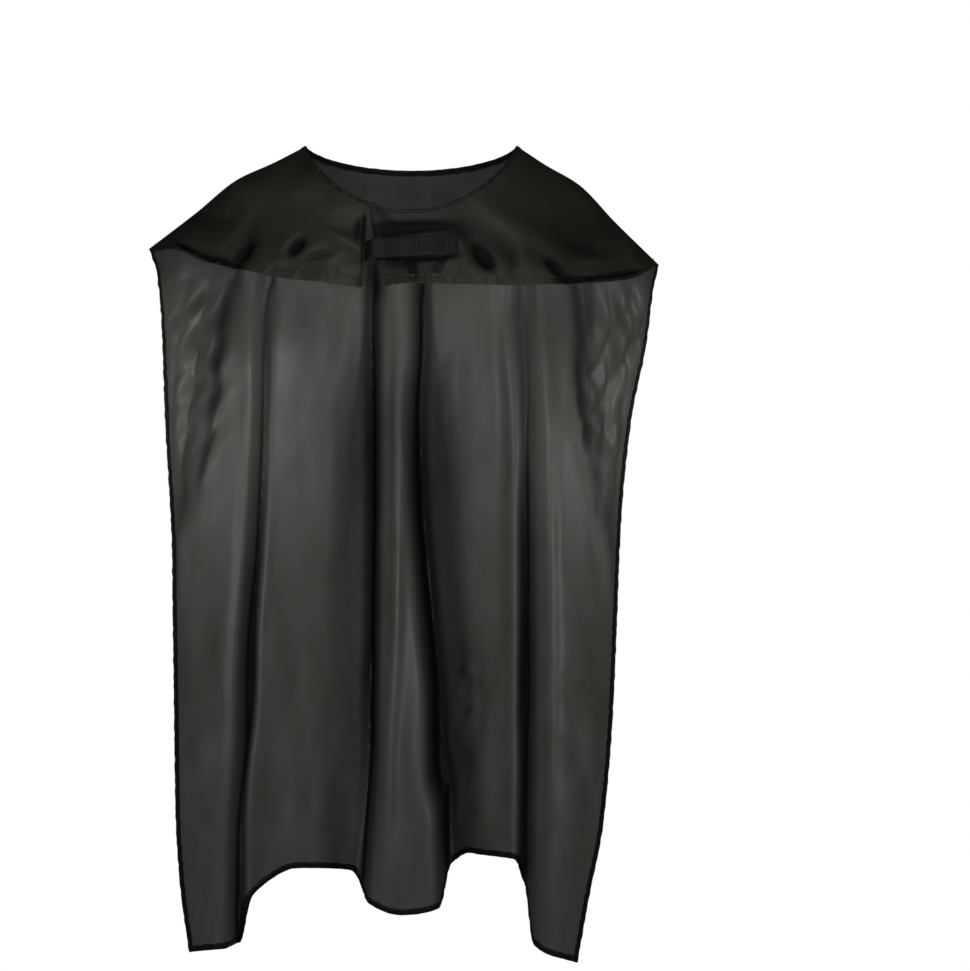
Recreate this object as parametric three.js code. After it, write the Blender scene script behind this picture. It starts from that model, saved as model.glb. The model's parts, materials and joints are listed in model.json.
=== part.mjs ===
// A child's superhero cape of black satin, as it hangs on a wearer's shoulders.
//
// The cape is one cut of cloth with a round neck hole near its top edge and a slit from that edge to the
// hole. Its back hangs behind the wearer in upright folds. The two strips beside the slit come forward over
// the shoulders as short front flaps, and a strap with hook-and-loop tape closes them over the chest. Every
// raw edge is finished inside with a narrow satin bias tape.
//
// The wearer faces -Y, so the wearer's right hand is at -X. Millimetres, +Z up. The origin lies between the
// two points where the cape sits at the sides of the neck. The cloth is split into panels where it bends
// when it is worn: at the shoulder lines, so that the flaps can open, and below the shoulder blades, so that
// the back can swing. Outside is the shiny face of the satin.

import * as THREE from "three";

// ---------- driving dimensions ----------
const NECK_WIDTH = 181; // across the neck hole, shoulder to shoulder
const NECK_MIDDLE_X = 2; // the neck hole sits a little to the wearer's left of the origin
const NECK_FRONT = 62; // from the shoulder line forward to the front of the neck hole
const NECK_BACK = 50; // and back to the nape
const NECK_FRONT_DROP = 58;
const NECK_BACK_DROP = 13;

const TIP_X = { right: -222, left: 214 }; // the shoulder tips, where the side edges start
const TIP_DROP = { right: 90, left: 103 };
const TIP_Y = -8;
const SHOULDER_ROUND = 1.25; // 1 would crease the cloth along the shoulder line

const FLAP_HEM_DROP = 119; // the flaps' hem at the middle of the chest
const FLAP_HEM_FRONT = 86;
const YOKE_BACK = 88; // how far back the cloth stands at the shoulder blades
const YOKE_DROP = 112;
const SLIT_X = { right: [-35, -40], left: [-32.5, -13] }; // each flap's front edge, at neck and hem

const HEM_DROP = 691; // the back's hem at the wearer's sides
const HEM_LEAN = 0.02; // the hem falls a little to the wearer's left
const HEM_RISE = 50; // how much higher the deepest folds hang
const HEM_RISE_BACK = 132; // how far back those lie
const HEM_BACK = 60; // how far back the hem stands behind the middle, apart from its folds
const SIDE_X = {
  // the side edges from the shoulder tips to the hem: [share of the fall, x]
  right: [[0, TIP_X.right], [0.2, -212], [0.36, -203], [0.62, -202], [0.9, -194], [1, -187]],
  left: [[0, TIP_X.left], [0.11, 206], [0.22, 194], [0.36, 184], [0.62, 170], [0.9, 156], [1, 142]],
};

// The folds' walls, from the wearer's right. Past each one the cloth stands further back by depth, or nearer.
const WALLS = [
  { top: -128, hem: -150, depth: 80 },
  { top: -39, hem: -47, depth: -50 },
  { top: 5, hem: 29, depth: 53 },
  { top: 107, hem: 103, depth: -83 },
];
const WALL_WIDTH = 7;
const FOLD_FULL = 0.55; // share of the fall at which the folds are full
const FOLD_AT_TIPS = 0.2; // and how deep they are already at the shoulder tips' level
const FOLD_START = 0.45; // share of the way from the nape to the tips where they begin
const SIDE_DENT = { depth: 14, width: 13, top: [-163, 149], end: [-203, 184], gone: 0.5 };
const FACE_FRONT = 2; // how squarely the falling side edges face the front, 1 on the shoulders
const FACE_FRONT_FROM = 0.15; // reached at this share of the fall

const CLOTH = 0.8;
const TAPE = 0.6;
const TAPE_WIDTH = 7;
const SEWN_GAP = 0.3; // between pieces that are sewn together
const CUT_GAP = 0.8; // between two panels of the same cloth

const STRAP = { thick: 1.2, width: 16, from: -33, to: 41, middle: -83.5, rise: 4 }; // higher at its end
const STRAP_ANCHOR = { from: -53, to: -40.5 }; // the strap's sewn end, inside the flap
const HOOK_PATCH = { thick: 1, width: 12, from: 4, to: 37 };
const LOOP_PATCH = { thick: 1, width: 14, from: 1, to: 44 };

// How finely the curved cloth is made of flat facets: their width, or their number.
const BACK_FACET = 7.5;
const STRAP_FACET = 4.6;
const SHOULDER_ROWS = 7;
const BACK_ROWS = 13;
const FLAP_ROWS = 5;
const FLAP_COLUMNS = 18;

// ---------- the cloth's surface ----------
const CORNER = Math.PI / 2;
const shoulder = (side) => (side < 0 ? "right" : "left");
const mix = (a, b, share) => a + (b - a) * share;
const between = (a, b, steps) => Array.from({ length: steps + 1 }, (_, i) => mix(a, b, i / steps));
const soften = (share) => {
  const s = Math.min(1, Math.max(0, share));
  return s * s * (3 - 2 * s);
};

/** A side edge's x at a share of its fall, on a smooth curve through the points of SIDE_X. */
function sideX(side, fall) {
  const points = SIDE_X[shoulder(side)];
  const next = Math.max(1, points.findIndex(([at]) => at >= fall));
  const [[fromAt, from], [toAt, to]] = [points[next - 1], points[next]];
  const before = points[Math.max(0, next - 2)];
  const after = points[Math.min(points.length - 1, next + 1)];
  const slope = (a, b) => ((b[1] - a[1]) / (b[0] - a[0])) * (toAt - fromAt);
  const s = (fall - fromAt) / (toAt - fromAt);
  const [start, end] = [slope(before, points[next]), slope(points[next - 1], after)];
  return (
    (2 * s ** 3 - 3 * s ** 2 + 1) * from +
    (s ** 3 - 2 * s ** 2 + s) * start +
    (3 * s ** 2 - 2 * s ** 3) * to +
    (s ** 3 - s ** 2) * end
  );
}

/** The straight shoulder line that a flap opens about, out from 0 at the neck to 1 at the shoulder's tip. */
function ridge(side, out) {
  const tip = shoulder(side);
  return {
    reach: mix(NECK_WIDTH / 2, Math.abs(TIP_X[tip] - NECK_MIDDLE_X), out),
    y: TIP_Y * out,
    z: -TIP_DROP[tip] * out,
  };
}

/**
 * The cloth on the chest or on the upper back. Turn goes from -90 degrees on the wearer's right shoulder line
 * through 0 at the middle to 90 on the left one.
 */
function onShoulders(turn, out, middleY, middleZ) {
  const top = ridge(turn, out);
  const inward = Math.max(0, Math.cos(turn));
  return new THREE.Vector3(
    NECK_MIDDLE_X + top.reach * Math.sin(turn),
    top.y + (middleY - top.y) * inward,
    top.z + (middleZ - top.z) * inward ** SHOULDER_ROUND,
  );
}

const onChest = (turn, out) =>
  onShoulders(turn, out, -mix(NECK_FRONT, FLAP_HEM_FRONT, out), -mix(NECK_FRONT_DROP, FLAP_HEM_DROP, out));

/** How far the folds push the cloth back at x. Fall is 0 at the shoulder tips and 1 at the hem. */
function folds(x, fall, strength) {
  const walls = WALLS.map(({ top, hem, depth }) => {
    const at = mix(top, hem, fall);
    return depth * 0.5 * (1 + Math.tanh((x - at) / WALL_WIDTH));
  });
  const gone = soften(fall / SIDE_DENT.gone);
  const dents = SIDE_DENT.top.map((from, i) => {
    const at = mix(from, SIDE_DENT.end[i], gone);
    return SIDE_DENT.depth * (1 - gone) * Math.exp(-(((x - at) / SIDE_DENT.width) ** 2));
  });
  return strength * [...walls, ...dents].reduce((sum, depth) => sum + depth, 0);
}

const ROW_STEPS = 480;
const rows = new Map();

/**
 * One line of points across the back, with their lengths along it from the wearer's right edge.
 * Level is 0 at the nape, 1 at the shoulder tips and 2 at the hem.
 */
function backRow(level) {
  const held = Math.min(2, Math.max(0, level));
  if (rows.has(held)) return rows.get(held);
  const out = Math.min(1, held);
  const fall = Math.max(0, held - 1);
  const points = between(-CORNER, CORNER, ROW_STEPS).map((turn) => {
    const p = onShoulders(turn, out, mix(NECK_BACK, YOKE_BACK, out), -mix(NECK_BACK_DROP, YOKE_DROP, out));
    if (fall > 0) {
      const [right, left] = [sideX(-1, fall), sideX(1, fall)];
      const inward = Math.max(0, Math.cos(turn)) ** mix(1, FACE_FRONT, soften(fall / FACE_FRONT_FROM));
      const sideY = mix(TIP_Y, 0, fall);
      p.x = (right + left) / 2 + ((left - right) / 2) * Math.sin(turn);
      p.y = sideY + (mix(YOKE_BACK, HEM_BACK, fall) - sideY) * inward;
    }
    const growing = FOLD_AT_TIPS * soften((out - FOLD_START) / (1 - FOLD_START));
    p.y += folds(p.x, fall, mix(growing, 1, soften(fall / FOLD_FULL)));
    const hem = -HEM_DROP - HEM_LEAN * p.x + HEM_RISE * Math.max(0, p.y / HEM_RISE_BACK) ** 3;
    p.z = mix(p.z, hem, fall);
    return p;
  });
  const lengths = [0];
  points.slice(1).forEach((p, i) => lengths.push(lengths[i] + p.distanceTo(points[i])));
  const row = { points, lengths, length: lengths.at(-1) };
  rows.set(held, row);
  return row;
}

/** The back of the cape, a length along from the wearer's right edge. */
function onBack(along, level) {
  const { points, lengths, length } = backRow(level);
  const at = Math.min(length, Math.max(0, along));
  const next = Math.max(1, lengths.findIndex((l) => l >= at));
  const share = (at - lengths[next - 1]) / (lengths[next] - lengths[next - 1]);
  return points[next - 1].clone().lerp(points[next], share);
}

// ---------- thin solids on that surface ----------
const PROBE = { length: 0.4, level: 1e-3, chest: 2e-3 }; // small steps that give a surface's directions

/** A surface's point at (u, v), moved out by a height. Its u, v and outward normal are right-handed. */
function raised(surface, u, v, height) {
  const [stepU, stepV] = surface === onBack ? [PROBE.length, PROBE.level] : [PROBE.chest, PROBE.chest];
  const alongU = surface(u + stepU, v).sub(surface(u - stepU, v));
  const alongV = surface(u, v + stepV).sub(surface(u, v - stepV));
  return surface(u, v).addScaledVector(alongU.cross(alongV).normalize(), height);
}

/**
 * A closed sheet between two heights over a surface. Its levels are lines of v, and columnsAt(v) gives the
 * same number of u on each of them.
 */
function sheet(surface, levels, columnsAt, low, high) {
  const lines = levels.map(columnsAt);
  const [tall, wide] = [levels.length, lines[0].length];
  const points = [low, high].flatMap((height) =>
    levels.flatMap((v, row) => lines[row].map((u) => raised(surface, u, v, height))),
  );
  const faces = [];
  const corner = (top, row, column) => (top * tall + row) * wide + column;
  for (let row = 0; row + 1 < tall; row++) {
    for (let column = 0; column + 1 < wide; column++) {
      for (const top of [0, 1]) {
        const [a, b] = [corner(top, row, column), corner(top, row, column + 1)];
        const [c, d] = [b + wide, a + wide];
        faces.push(...(top ? [a, b, c, a, c, d] : [a, c, b, a, d, c]));
      }
    }
  }
  const rim = [];
  for (let column = 0; column + 1 < wide; column++) rim.push([0, column]);
  for (let row = 0; row + 1 < tall; row++) rim.push([row, wide - 1]);
  for (let column = wide - 1; column > 0; column--) rim.push([tall - 1, column]);
  for (let row = tall - 1; row > 0; row--) rim.push([row, 0]);
  rim.forEach((from, i) => {
    const to = rim[(i + 1) % rim.length];
    const [a, b, c, d] = [corner(0, ...from), corner(0, ...to), corner(1, ...to), corner(1, ...from)];
    faces.push(a, b, c, a, c, d);
  });
  const geometry = new THREE.BufferGeometry().setFromPoints(points);
  geometry.setIndex(faces);
  geometry.computeVertexNormals();
  return geometry;
}

// ---------- where the pieces lie on it ----------
const NAPE_LENGTH = YOKE_DROP - NECK_BACK_DROP;
const FLAP_LENGTH = FLAP_HEM_DROP - NECK_FRONT_DROP;
const FALL = HEM_DROP - TIP_DROP.right;

const turnAt = (x, out) => Math.asin((x - NECK_MIDDLE_X) / ridge(x - NECK_MIDDLE_X, out).reach);
const chest = (u, out) => onChest(-u, out); // u runs from the wearer's left to the right
const chestU = (x, out) => -turnAt(x, out);
const chestOutAt = (z) => (-z - NECK_FRONT_DROP) / FLAP_LENGTH; // near the middle of the chest

/** The columns of a flap: its front edge, the inner edge of the tape along that, and on to the shoulder. */
function flapColumns(side, out, steps) {
  const edge = mix(...SLIT_X[side], out);
  const away = side === "right" ? -1 : 1;
  const atRidge = -away * (CORNER - CUT_GAP / FLAP_HEM_FRONT);
  const columns = [chestU(edge, out), ...between(chestU(edge + away * TAPE_WIDTH, out), atRidge, steps)];
  return side === "right" ? columns : columns.reverse();
}

/** Columns across the back, with the inner edges of its side tapes. */
const backColumns = (steps) => (level) => {
  const { length } = backRow(level);
  return [0, ...between(TAPE_WIDTH, length - TAPE_WIDTH, steps), length];
};

/** A sheet of cloth over the chest between two x, along a line that rises towards the wearer's left. */
function strapSheet({ from, to, width, thick }, low) {
  const line = (x) => STRAP.middle + (STRAP.rise * x) / (STRAP.to - STRAP.from);
  const surface = (u, v) => {
    const x = -u;
    const out = chestOutAt(line(x) - v);
    return chest(chestU(x, out), out);
  };
  const columns = between(-to, -from, Math.round((to - from) / STRAP_FACET));
  return sheet(surface, [-width / 2, 0, width / 2], () => columns, low, low + thick);
}

// ---------- finishes ----------
const finish = (color, roughness) => new THREE.MeshStandardMaterial({ color, roughness, metalness: 0 });
const satin = finish(0x1d1c1a, 0.45);
const tapeSatin = finish(0x141413, 0.5);
const strapCloth = finish(0x211e1b, 0.6);
const hooks = finish(0x161616, 0.8);
const pile = finish(0x1a1918, 0.95);

const cape = new THREE.Group();

function add(name, geometry, material) {
  const mesh = new THREE.Mesh(geometry, material);
  mesh.name = name;
  cape.add(mesh);
}

// ---------- the back: over the shoulders, and hanging ----------
const tapeHigh = -CLOTH - SEWN_GAP;
const tapeLow = tapeHigh - TAPE;
const backSteps = Math.round(backRow(2).length / BACK_FACET);
const acrossBack = backColumns(backSteps);
const napeTape = TAPE_WIDTH / NAPE_LENGTH;
const hemTape = 2 - TAPE_WIDTH / FALL;
const shoulderLevels = [0, ...between(napeTape, 1, SHOULDER_ROWS)];
const backLevels = [...between(1 + CUT_GAP / FALL, hemTape, BACK_ROWS), 2];

add("shoulder_panel", sheet(onBack, shoulderLevels, acrossBack, -CLOTH, 0), satin);

/** The back's columns, ending short of each edge by a margin, so that pieces inside a bend don't meet. */
function shortOfEdges(level, margin, columns = acrossBack(level)) {
  const last = columns.length - 1;
  return columns.map((along, i) => along + (i === 0 ? margin : 0) - (i === last ? margin : 0));
}
const napeColumns = (level) => shortOfEdges(level, -tapeLow);
add("nape_tape", sheet(onBack, shoulderLevels.slice(0, 2), napeColumns, tapeLow, tapeHigh), tapeSatin);
add("back_panel", sheet(onBack, backLevels, acrossBack, -CLOTH, 0), satin);
add(
  "right_side_tape",
  sheet(onBack, backLevels, (level) => acrossBack(level).slice(0, 2), tapeLow, tapeHigh),
  tapeSatin,
);
add(
  "left_side_tape",
  sheet(onBack, backLevels, (level) => acrossBack(level).slice(-2), tapeLow, tapeHigh),
  tapeSatin,
);

const betweenSideTapes = (level) => shortOfEdges(level, SEWN_GAP, acrossBack(level).slice(1, -1));
add("hem_tape", sheet(onBack, backLevels.slice(-2), betweenSideTapes, tapeLow, tapeHigh), tapeSatin);

// ---------- the front flaps ----------
const flapTape = TAPE_WIDTH / FLAP_LENGTH;
const flapGap = SEWN_GAP / FLAP_LENGTH;
const flapLevels = [0, ...between(flapTape, 1 - flapTape, FLAP_ROWS), 1];
const slitTapeLevels = flapLevels.slice(1, -1);
slitTapeLevels[0] += flapGap;
slitTapeLevels[slitTapeLevels.length - 1] -= flapGap;

for (const side of ["right", "left"]) {
  const columns = (out) => flapColumns(side, out, FLAP_COLUMNS);
  const atSlit = (out) => (side === "right" ? columns(out).slice(0, 2) : columns(out).slice(-2));
  const inside = (levels, at) => sheet(chest, levels, at, tapeLow, tapeHigh);
  add(`${side}_front_flap`, sheet(chest, flapLevels, columns, -CLOTH, 0), satin);
  add(`${side}_neck_tape`, inside(flapLevels.slice(0, 2), columns), tapeSatin);
  add(`${side}_flap_hem_tape`, inside(flapLevels.slice(-2), columns), tapeSatin);
  add(`${side}_slit_tape`, inside(slitTapeLevels, atSlit), tapeSatin);
}

// ---------- the closing strap ----------
const loopLow = SEWN_GAP;
const hookLow = loopLow + LOOP_PATCH.thick + SEWN_GAP;
const strapLow = hookLow + HOOK_PATCH.thick + SEWN_GAP;
const anchorLow = tapeLow - SEWN_GAP - STRAP.thick;

add("strap_sewn_end", strapSheet({ ...STRAP, ...STRAP_ANCHOR }, anchorLow), strapCloth);
add("closing_strap", strapSheet(STRAP, strapLow), strapCloth);
add("hook_patch", strapSheet(HOOK_PATCH, hookLow), hooks);
add("loop_patch", strapSheet(LOOP_PATCH, loopLow), pile);

export default cape;
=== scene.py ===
# %% [markdown]
# # A child's superhero cape
# A superhero cape is one cut of thin black satin. A slit runs from the neck hole to the cloth's top edge, so that
# the cape can be put on, and a strap with hook-and-loop tape closes it over the chest. Worn, it shows both of its
# faces: the shiny outside on the two front flaps, and the duller inside of the back, which hangs behind in folds.
#
# This lesson builds the cape round a fixed frame: the same cape as plain solids, with its joints. The frame says
# where the pieces and the joints are, and the folds, dents and seams are worked out inside it.

# %% The frame and the tools
import json
import math

import bpy
import numpy as np
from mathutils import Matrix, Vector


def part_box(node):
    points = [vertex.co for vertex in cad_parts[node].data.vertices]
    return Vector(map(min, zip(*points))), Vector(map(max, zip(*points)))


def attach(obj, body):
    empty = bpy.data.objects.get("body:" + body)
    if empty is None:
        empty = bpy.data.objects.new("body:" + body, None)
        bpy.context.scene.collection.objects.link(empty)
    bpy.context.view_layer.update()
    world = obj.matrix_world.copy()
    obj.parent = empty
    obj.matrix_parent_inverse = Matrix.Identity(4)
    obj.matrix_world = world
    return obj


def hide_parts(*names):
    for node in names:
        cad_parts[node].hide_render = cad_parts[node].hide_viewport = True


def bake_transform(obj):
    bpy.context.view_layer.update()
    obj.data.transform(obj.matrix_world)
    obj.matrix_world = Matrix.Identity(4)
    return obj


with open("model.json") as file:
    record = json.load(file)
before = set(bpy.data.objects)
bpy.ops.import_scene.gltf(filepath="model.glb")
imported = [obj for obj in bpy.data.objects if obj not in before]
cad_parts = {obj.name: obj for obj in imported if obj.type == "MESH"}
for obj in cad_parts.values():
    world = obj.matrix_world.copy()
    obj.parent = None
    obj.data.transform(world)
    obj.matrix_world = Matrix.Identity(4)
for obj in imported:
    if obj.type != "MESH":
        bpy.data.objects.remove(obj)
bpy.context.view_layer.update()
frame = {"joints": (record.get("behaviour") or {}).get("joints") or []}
joints = {joint["name"]: joint for joint in frame["joints"]}
bpy.ops.object.select_all(action="DESELECT")

# %% [markdown]
# ## Camera, floor and light
# The camera stands in front of the cape, level with its middle, so that its sides hang straight in the picture. A
# long lens from a few steps away keeps the near and the far cloth nearly the same size. Black satin has hardly any
# colour of its own: what we see is what it reflects. So a low soft light from the front shines under the flaps, one
# from above falls on the shoulders, one from each side gives the folds their light and dark sides, and one behind
# lights the cloth's outer face.

# %% Camera, floor and light
VIEW_MIDDLE = (0.0654, -0.289)  # across and up
VIEW_WIDTH = 0.834  # what the picture takes in, at the cape
CAMERA_AWAY = 2.5
SENSOR = 0.036
FLOOR_DOWN = 1.02  # a child's shoulders are about this high

bpy.ops.object.camera_add(location=(VIEW_MIDDLE[0], -CAMERA_AWAY, VIEW_MIDDLE[1]), rotation=(math.pi / 2, 0, 0))
camera = bpy.context.object
camera.data.sensor_width = SENSOR * 1000
camera.data.lens = SENSOR * 1000 * CAMERA_AWAY / VIEW_WIDTH
bpy.context.scene.camera = camera
bpy.context.scene.view_settings.view_transform = "Standard"

bpy.ops.mesh.primitive_circle_add(vertices=96, radius=1.3, fill_type="NGON", location=(0, 0, -FLOOR_DOWN))
floor = bpy.context.object
floor.name = "floor"


def soft_light(name, place, size, power, target, spread=180):
    """A square soft light that faces the target. A small spread, in degrees, keeps its light in a beam."""
    bpy.ops.object.light_add(type="AREA", location=place)
    light = bpy.context.object
    light.name = name
    light.data.size = size
    light.data.energy = power
    light.data.spread = math.radians(spread)
    away = np.subtract(place, target)
    flat = math.hypot(away[0], away[1])
    light.rotation_euler = (math.atan2(flat, away[2]), 0, math.atan2(away[0], -away[1]))


soft_light("key", (0.04, -0.6, -0.31), 0.2, 2.85, target=(0, 0.1, -0.22))
soft_light("left_side", (-0.5, -0.36, -0.18), 0.16, 0.13, target=(0.2, 0.03, -0.18), spread=28)
soft_light("right_side", (0.54, -0.36, -0.17), 0.16, 0.17, target=(-0.21, 0.03, -0.17), spread=28)
soft_light("shoulders", (-0.05, -0.65, 0.5), 0.3, 0.55, target=(0, 0, -0.03), spread=50)
soft_light("behind", (0, 2, -0.4), 0.8, 40, target=(0, 0.1, -0.35))

# %% [markdown]
# ## Writing materials as arithmetic
# A procedural material is a sum of patterns. Wiring dozens of Math nodes by hand hides that sum, so a small class
# stands for a number that varies over the surface, and Python's own + - and * add the nodes. Anything that isn't
# arithmetic, such as a noise texture, comes from one method that takes the node's type, settings and inputs.


# %% Writing materials as arithmetic
class Varying:
    """A number that changes over a surface. Arithmetic on it adds Math nodes to its material."""

    def __init__(self, finish, socket):
        self.finish = finish
        self.socket = socket

    def math(self, operation, *inputs):
        return self.finish.node("ShaderNodeMath", {"operation": operation}, dict(enumerate(inputs)))

    def __add__(self, other):
        return self.math("ADD", self, other)

    def __sub__(self, other):
        return self.math("SUBTRACT", self, other)

    def __rsub__(self, other):
        return self.math("SUBTRACT", other, self)

    def __mul__(self, other):
        return self.math("MULTIPLY", self, other)

    __radd__ = __add__
    __rmul__ = __mul__


class Finish:
    """A material with one Principled shader, whose own settings are constants."""

    def __init__(self, name, **settings):
        self.material = bpy.data.materials.new(name)
        self.material.use_nodes = True
        self.tree = self.material.node_tree
        self.shader = self.tree.nodes["Principled BSDF"]
        for socket, value in settings.items():
            self.shader.inputs[socket.replace("_", " ")].default_value = value

    def connect(self, socket, value):
        if isinstance(value, Varying):
            self.tree.links.new(value.socket, socket)
        else:
            socket.default_value = value

    def node(self, kind, settings=(), inputs=(), output=0):
        node = self.tree.nodes.new(kind)
        for name, value in dict(settings).items():
            setattr(node, name, value)
        for name, value in dict(inputs).items():
            self.connect(node.inputs[name], value)
        return Varying(self, node.outputs[output])

    def place(self, scale=(1, 1, 1)):
        """The point on the object, in metres, stretched by a scale."""
        coordinates = self.node("ShaderNodeTexCoord", output="Object")
        return self.node("ShaderNodeMapping", inputs={"Vector": coordinates, "Scale": scale})

    def noise(self, vector, scale, detail=2.0, roughness=0.5):
        inputs = {"Vector": vector, "Scale": scale, "Detail": detail, "Roughness": roughness}
        return self.node("ShaderNodeTexNoise", inputs=inputs, output="Fac")

    def blend_colour(self, amount, low, high):
        """A colour between two. The Mix node's colour sockets come after those for numbers and vectors."""
        low, high = (end if isinstance(end, Varying) else (*end, 1) for end in (low, high))
        settings = {"data_type": "RGBA", "clamp_factor": True}
        return self.node("ShaderNodeMix", settings, {0: amount, 6: low, 7: high}, output=2)

    def bump(self, height, strength, distance, under=None):
        inputs = {"Height": height, "Strength": strength, "Distance": distance}
        if under is not None:
            inputs["Normal"] = under
        return self.node("ShaderNodeBump", inputs=inputs)


# %% [markdown]
# ## The satin's two faces
# Satin's threads float over several others before they dip, all on one side of the cloth. That side is smooth and
# shiny, and the other is dull, so the outside and the inside are two materials on one sheet. The gloss is a weak
# coat over a dark cloth, because it has to stay soft and low where a black cloth turns to the light. The threads
# are too fine to see from a few steps away, so the weave is a faint bump, and slow patches of a little more or less
# gloss stand for where hands and folding have pressed the cloth. Little light comes out of a deep fold, so each
# sheet carries a painted shade value at every point, and there the satin's colour is painted darker and loses its
# gloss: painted shade in folds, creases and dents, painted shadows by the slit and the strap, and a little painted
# highlight where the flaps bulge.


# %% The satin's two faces
THREAD = 0.00022  # thread spacing, in metres
WEAVE_STRETCH = 5  # a thread shows this many times as long as it is wide
PAINTED_SHADE_ATTRIBUTES = {"outside": "outside_hollow", "inside": "inside_hollow"}  # the painted shade of each face: how much darker its colour is painted at each point
# the colour that painted shade darkens the satin towards
PAINTED_SHADE_COLOUR = (0.0012, 0.0011, 0.0009)


def satin(name, dark, light, rough, gloss, weave, face="outside"):
    """Satin between two colours. Gloss is the weight of its coat."""
    finish = Finish(name, Specular_IOR_Level=0.02, Coat_Roughness=0.42)
    patches = finish.noise(finish.place((3, 1, 1)), scale=14.0, detail=4.0, roughness=0.6) * 1.8 - 0.4
    threads = finish.noise(finish.place((WEAVE_STRETCH, WEAVE_STRETCH, 1)), 1 / THREAD / WEAVE_STRETCH, detail=1.0)
    crumple = finish.noise(finish.place(), scale=90.0, detail=4.0, roughness=0.6)
    colour = finish.blend_colour(patches, dark, light)
    # painted shade: the sheet's value darkens the colour and takes the coat's gloss away
    painted_shade = finish.node("ShaderNodeAttribute", {"attribute_name": PAINTED_SHADE_ATTRIBUTES[face]}, output="Fac")
    finish.connect(finish.shader.inputs["Base Color"], finish.blend_colour(painted_shade, colour, PAINTED_SHADE_COLOUR))
    finish.connect(finish.shader.inputs["Roughness"], rough + 0.1 * (patches - 0.5) + 0.06 * (threads - 0.5))
    finish.connect(finish.shader.inputs["Coat Weight"], gloss * (1 - painted_shade))
    soft = finish.bump(crumple, strength=0.25, distance=0.0012)
    finish.connect(finish.shader.inputs["Normal"], finish.bump(threads, weave, distance=0.0001, under=soft))
    return finish.material


satin_outside = satin("satin_outside", (0.007, 0.0064, 0.005), (0.0118, 0.0109, 0.0086), 0.5, 0.055, 0.25)
satin_inside = satin("satin_inside", (0.030, 0.0277, 0.0243), (0.0455, 0.0428, 0.0395), 0.55, 0.22, 0.35, "inside")
tape_satin = satin("tape_satin", (0.0025, 0.0024, 0.002), (0.005, 0.0048, 0.004), 0.5, 0.06, 0.3)

# %% [markdown]
# ## The white room
# A studio for black cloth is white all round: the cloth's gloss is the room's reflection. The room is the world's
# background. The camera sees it plain white, but on the cloth it is weaker, and weakest from behind, so that the
# folds keep their dark sides.

# %% The white room
ROOM_LIGHT = (0.05, 0.52)  # how much of the white room's light reaches the cloth, from behind it and from the front
ROOM_TURNS = (0.25, -0.95)  # the directions, from behind to the front, between which it changes

floor_paint = Finish("floor_paint", Base_Color=(0.82, 0.82, 0.82, 1), Roughness=0.7)
floor.data.materials.append(floor_paint.material)
world = bpy.data.worlds.new("white_room")
bpy.context.scene.world = world
world.use_nodes = True
surroundings = world.node_tree.nodes["Background"]
surroundings.inputs["Color"].default_value = (1, 1, 1, 1)
direction, across, fading, seen, strength = (
    world.node_tree.nodes.new("ShaderNode" + kind)
    for kind in ("TexCoord", "SeparateXYZ", "MapRange", "LightPath", "MapRange")
)
fading.interpolation_type = "SMOOTHSTEP"
for socket, value in zip(("From Min", "From Max", "To Min", "To Max"), (*ROOM_TURNS, *ROOM_LIGHT)):
    fading.inputs[socket].default_value = value
link = world.node_tree.links.new
link(across.inputs["Vector"], direction.outputs["Generated"])
link(fading.inputs["Value"], across.outputs["Y"])
link(strength.inputs["To Min"], fading.outputs["Result"])
link(strength.inputs["Value"], seen.outputs["Is Camera Ray"])
link(surroundings.inputs["Strength"], strength.outputs["Result"])
print("materials:", [material.name for material in bpy.data.materials if material.users])

# %% [markdown]
# ## The shape of the cloth
# Folds in a hanging cloth could be left to a simulation, but a simulation never gives the same folds as a given
# cape. A cloth seen from the front can also be written down: how far back it stands at each place across and
# down. We give the big shape first, an oval round the shoulders that opens towards the hem, and then add each fold
# as a path down the cloth with a width and a depth.

# %% Measures of the cape, in metres
panel_low, panel_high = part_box("shoulder_panel")
hem_low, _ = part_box("back_panel")
NECK = {-1: joints["right_flap_open"]["pos_m"][0], 1: joints["left_flap_open"]["pos_m"][0]}
TIP = {-1: (panel_low[0], -0.0863), 1: (panel_high[0], -0.1)}  # across and up
NECK_MIDDLE = (NECK[-1] + NECK[1]) / 2
TIP_Y = panel_low[1]
SHOULDER_LINE = [(0, -0.028), (0.2, 0.135), (0.44, 0.31), (0.7, 0.64), (1, 1)]  # [share of the way out, of the drop]
NECK_FRONT, NECK_FRONT_DOWN = -0.062, -0.058
NECK_BACK, NECK_BACK_DOWN = 0.05, -0.0135
FLAP_HEM_Y, FLAP_HEM_DOWN = -0.086, -0.1245
YOKE_Y, YOKE_DOWN = 0.088, -0.112
HEM_Y = 0.058
HEM_DOWN = hem_low[2] + 0.004
SIDE = {  # the side edges: [share of the fall from the shoulder tips to the hem, place across]
    -1: [(0, TIP[-1][0]), (0.03, -0.2155), (0.1, -0.2115), (0.24, -0.2085), (0.4, -0.2035), (0.6, -0.2015),
         (0.8, -0.2), (0.9, -0.1965), (1, -0.1885)],
    1: [(0, TIP[1][0]), (0.03, 0.2095), (0.11, 0.2035), (0.22, 0.1905), (0.36, 0.182), (0.5, 0.1785),
        (0.65, 0.1745), (0.8, 0.1665), (0.9, 0.155), (1, 0.1445)],
}
print("neck", round(NECK[1] - NECK[-1], 3), "m wide, shoulders", round(TIP[1][0] - TIP[-1][0], 3), "m")


# %% Smooth helpers
def mix(a, b, share):
    return a + (b - a) * share


def soften(share):
    """0 before 0, 1 after 1, and a soft rise between."""
    share = np.clip(share, 0, 1)
    return share * share * (3 - 2 * share)


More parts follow.
